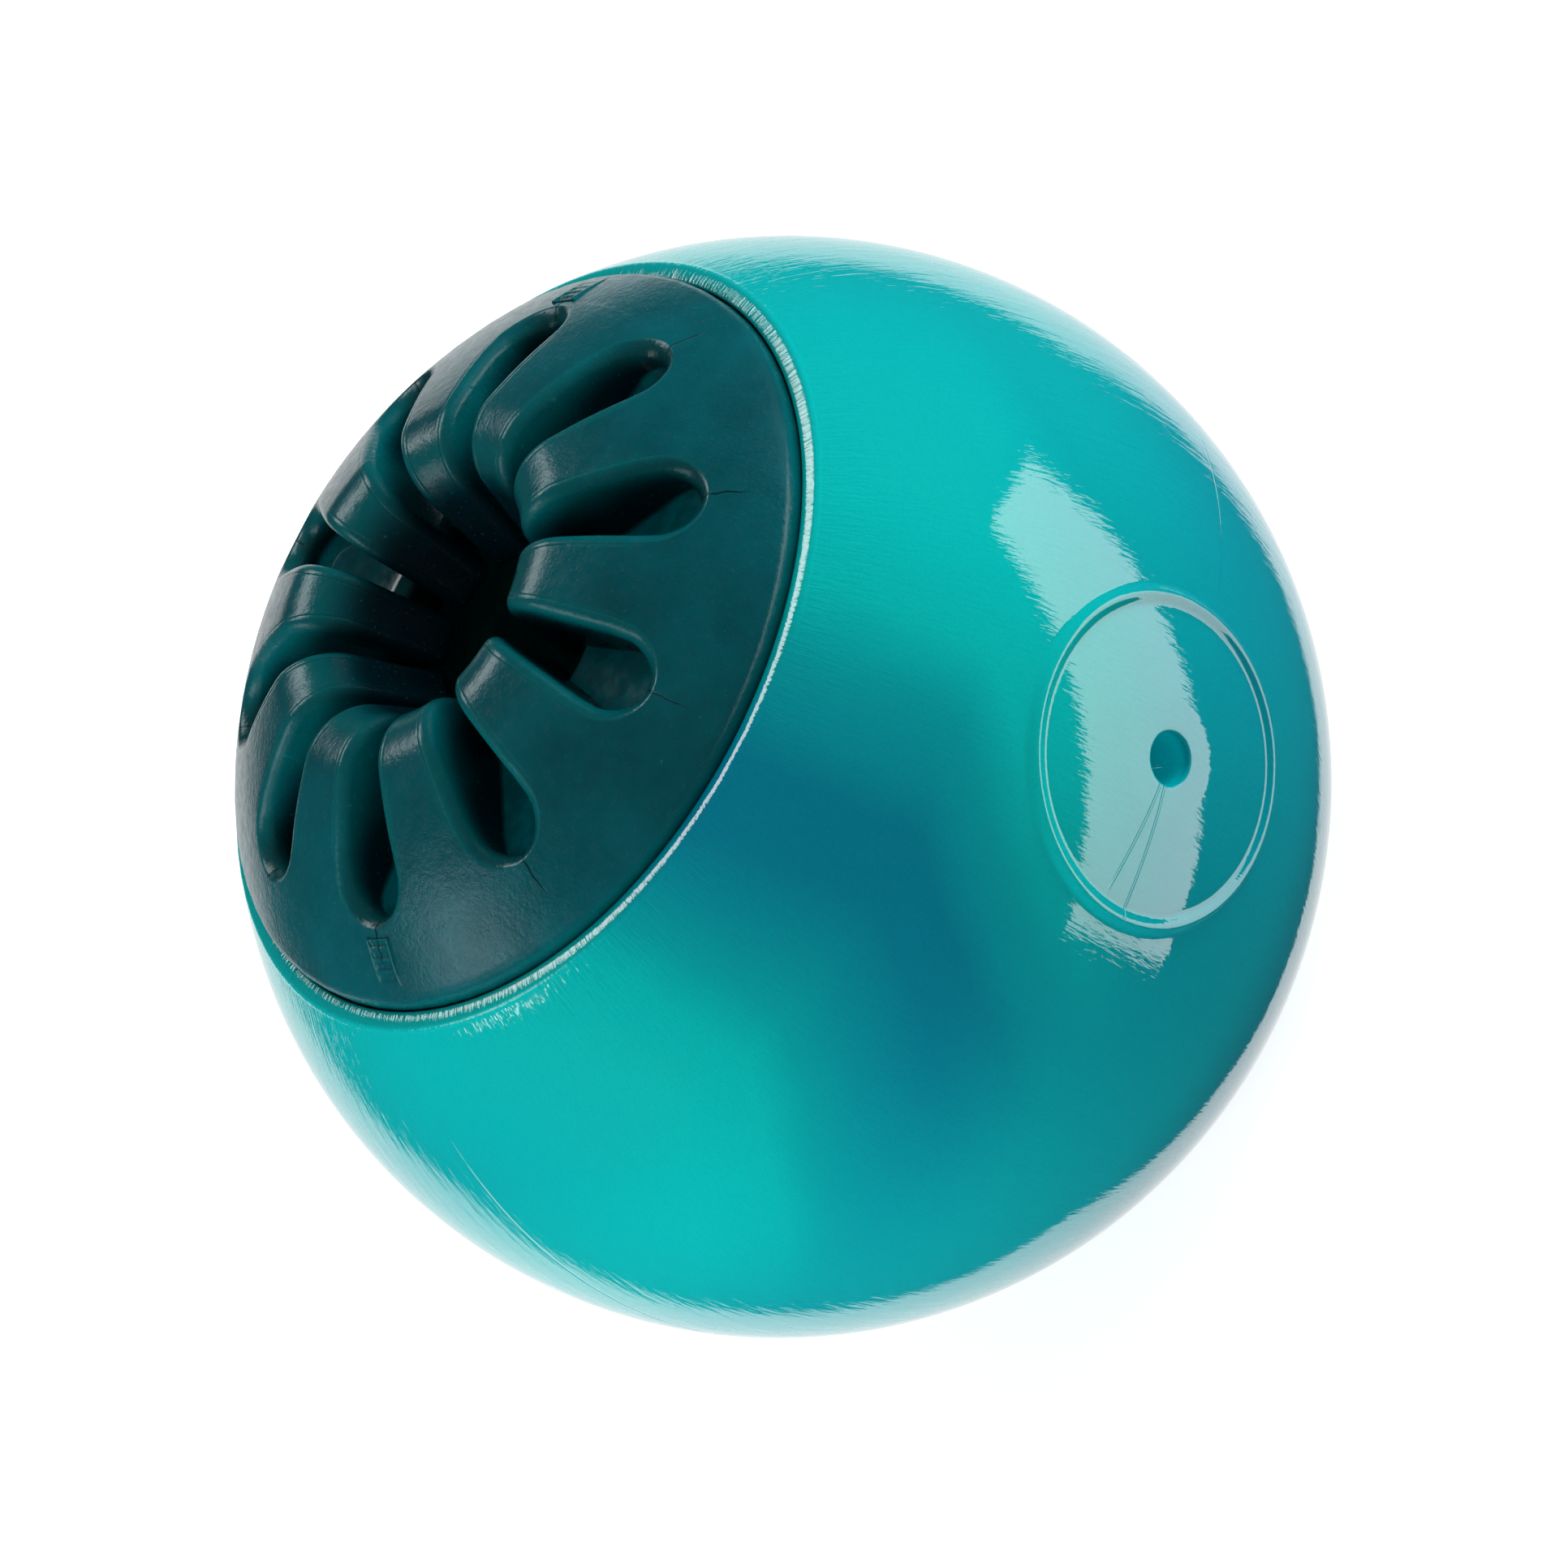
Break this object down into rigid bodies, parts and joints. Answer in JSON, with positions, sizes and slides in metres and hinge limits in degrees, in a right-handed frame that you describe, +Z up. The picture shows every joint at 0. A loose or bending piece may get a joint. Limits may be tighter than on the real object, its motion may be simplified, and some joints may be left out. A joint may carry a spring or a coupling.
{
  "type": "treat dispensing dog toy",
  "caption": "Hollow rubber ball with a ribbed gate in its mouth: flexing fingers round a throat let treats in and hold them until the ball is rolled or chewed.",
  "frame": {"origin": "centre of the flat patch under the ball that it rests on", "axes": "+Z up along the axis of the mouth and the ribbed gate; +X through the middle of the first rib"},
  "size_m": [0.0902, 0.0907, 0.0858],
  "materials": {
    "clear_teal_rubber": "glossy, translucent",
    "dark_teal_rubber": "satin"
  },
  "bodies": {
    "ball": {"ball_shell": "clear_teal_rubber", "gate_collar": "dark_teal_rubber"},
    "finger_01": {"gate_finger_01": "dark_teal_rubber"},
    "finger_02": {"gate_finger_02": "dark_teal_rubber"},
    "finger_03": {"gate_finger_03": "dark_teal_rubber"},
    "finger_04": {"gate_finger_04": "dark_teal_rubber"},
    "finger_05": {"gate_finger_05": "dark_teal_rubber"},
    "finger_06": {"gate_finger_06": "dark_teal_rubber"},
    "finger_07": {"gate_finger_07": "dark_teal_rubber"},
    "finger_08": {"gate_finger_08": "dark_teal_rubber"},
    "finger_09": {"gate_finger_09": "dark_teal_rubber"},
    "finger_10": {"gate_finger_10": "dark_teal_rubber"}
  },
  "joints": [
    {"name": "finger_01_flex", "type": "hinge", "parent": "ball", "child": "finger_01", "pos_m": [0.01443, 0, 0.08083], "axis": [0, 1, 0], "range_deg": [-12, 8], "stiffness_Nm_per_rad": 0.1},
    {"name": "finger_02_flex", "type": "hinge", "parent": "ball", "child": "finger_02", "pos_m": [0.01168, 0.00848, 0.08083], "axis": [-0.5878, 0.809, 0], "range_deg": [-12, 8], "stiffness_Nm_per_rad": 0.1},
    {"name": "finger_03_flex", "type": "hinge", "parent": "ball", "child": "finger_03", "pos_m": [0.00446, 0.01373, 0.08083], "axis": [-0.9511, 0.309, 0], "range_deg": [-12, 8], "stiffness_Nm_per_rad": 0.1},
    {"name": "finger_04_flex", "type": "hinge", "parent": "ball", "child": "finger_04", "pos_m": [-0.00446, 0.01373, 0.08083], "axis": [-0.9511, -0.309, 0], "range_deg": [-12, 8], "stiffness_Nm_per_rad": 0.1},
    {"name": "finger_05_flex", "type": "hinge", "parent": "ball", "child": "finger_05", "pos_m": [-0.01168, 0.00848, 0.08083], "axis": [-0.5878, -0.809, 0], "range_deg": [-12, 8], "stiffness_Nm_per_rad": 0.1},
    {"name": "finger_06_flex", "type": "hinge", "parent": "ball", "child": "finger_06", "pos_m": [-0.01443, 0, 0.08083], "axis": [0, -1, 0], "range_deg": [-12, 8], "stiffness_Nm_per_rad": 0.1},
    {"name": "finger_07_flex", "type": "hinge", "parent": "ball", "child": "finger_07", "pos_m": [-0.01168, -0.00848, 0.08083], "axis": [0.5878, -0.809, 0], "range_deg": [-12, 8], "stiffness_Nm_per_rad": 0.1},
    {"name": "finger_08_flex", "type": "hinge", "parent": "ball", "child": "finger_08", "pos_m": [-0.00446, -0.01373, 0.08083], "axis": [0.9511, -0.309, 0], "range_deg": [-12, 8], "stiffness_Nm_per_rad": 0.1},
    {"name": "finger_09_flex", "type": "hinge", "parent": "ball", "child": "finger_09", "pos_m": [0.00446, -0.01373, 0.08083], "axis": [0.9511, 0.309, 0], "range_deg": [-12, 8], "stiffness_Nm_per_rad": 0.1},
    {"name": "finger_10_flex", "type": "hinge", "parent": "ball", "child": "finger_10", "pos_m": [0.01168, -0.00848, 0.08083], "axis": [0.5878, 0.809, 0], "range_deg": [-12, 8], "stiffness_Nm_per_rad": 0.1}
  ]
}
